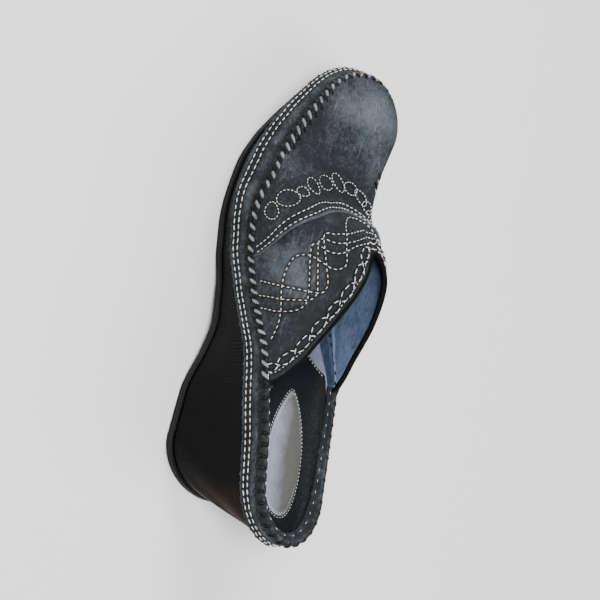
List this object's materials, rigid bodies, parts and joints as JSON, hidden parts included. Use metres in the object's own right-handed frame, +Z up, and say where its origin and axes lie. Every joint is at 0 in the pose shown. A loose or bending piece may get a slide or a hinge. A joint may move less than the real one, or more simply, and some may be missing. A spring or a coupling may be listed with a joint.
{
  "type": "leather mule",
  "caption": "Left backless leather mule: moccasin upper with laced seam and stitched saddle, on a wedge sole with a padded footbed.",
  "frame": {"origin": "on the floor, under the middle of the shoe's box", "axes": "+X from heel to toe, +Y to the lateral (outer) side of this left shoe, +Z up"},
  "size_m": [0.2574, 0.0868, 0.0767],
  "materials": {
    "outsole": "matte black, fine tread",
    "wedge": "glossy black with a fine wavy grain, brown burnish at the back",
    "upper": "greased charcoal nubuck, light stitches, black lace",
    "footbed": "smooth black sock with a blue-grey forefoot",
    "heel_pad": "taupe padded oval with a double light stitch"
  },
  "bodies": {
    "root": {"outsole": "outsole", "wedge": "wedge", "upper": "upper", "footbed": "footbed", "heel_pad": "heel_pad"}
  },
  "joints": []
}
